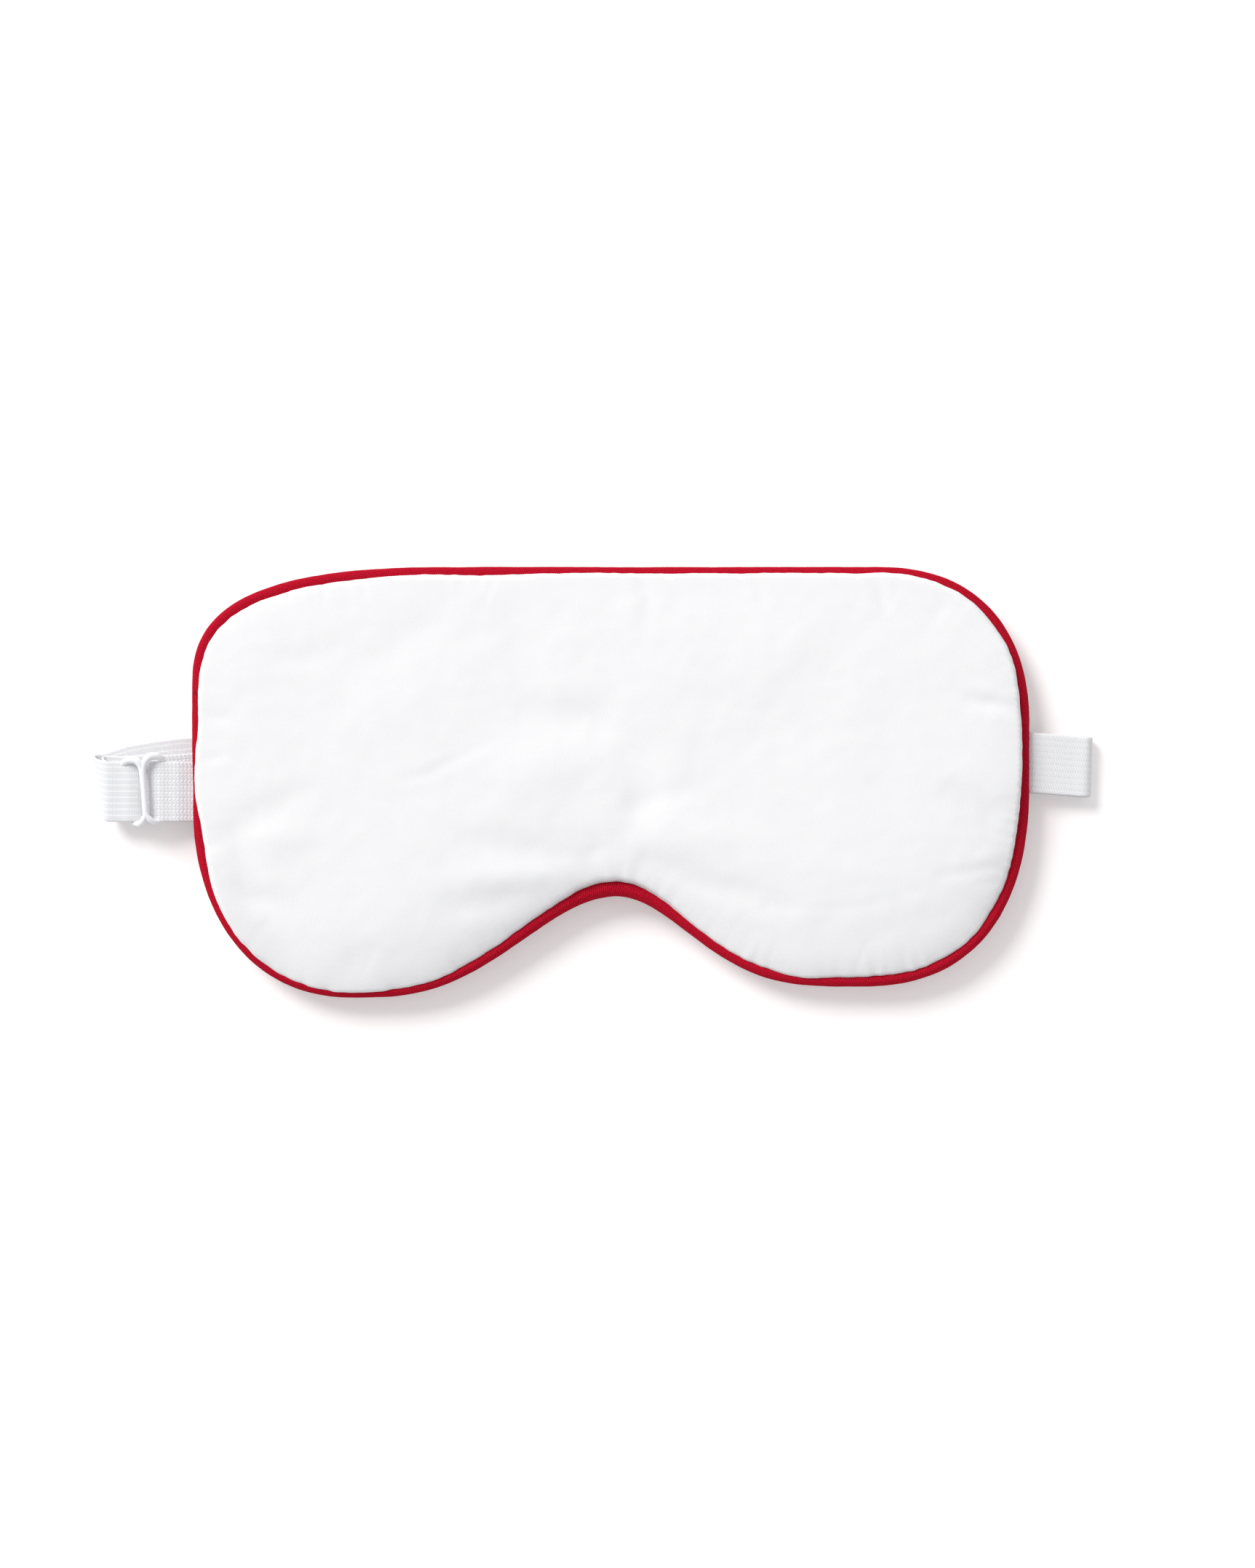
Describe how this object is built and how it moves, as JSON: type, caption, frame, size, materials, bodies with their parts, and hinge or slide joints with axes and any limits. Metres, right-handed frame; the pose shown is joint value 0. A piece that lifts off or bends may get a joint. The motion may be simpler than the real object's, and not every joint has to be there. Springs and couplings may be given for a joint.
{
  "type": "sleep mask",
  "caption": "padded white cotton sleep mask with red piping, white knitted elastic strap and a white plastic strap slider",
  "frame": {"origin": "on the resting plane, under the middle of the mask and its folded strap", "axes": "+X to the right seen from the front, +Y towards the brow edge, +Z out of the front panel"},
  "size_m": [0.2525, 0.1083, 0.0108],
  "materials": {
    "white_cotton": "matte",
    "wadding": "matte",
    "red_bias_tape": "satin",
    "filler_cord": "matte",
    "white_thread": "matte",
    "white_elastic": "matte",
    "white_plastic": "glossy"
  },
  "bodies": {
    "mask": {"front_panel": "white_cotton", "back_panel": "white_cotton", "padding": "wadding", "piping_cover": "red_bias_tape", "piping_cord": "filler_cord", "seam_thread": "white_thread", "adjuster_strap": "white_elastic", "strap_ring": "white_plastic", "right_elastic": "white_elastic", "ring_stitches": "white_thread"},
    "slider": {"slider": "white_plastic", "strap_end": "white_elastic", "end_stitches": "white_thread"}
  },
  "joints": [
    {"name": "slider_travel", "type": "slide", "parent": "mask", "child": "slider", "axis": [1, 0, 0], "range_m": [-0.0014, 0.0016]}
  ]
}
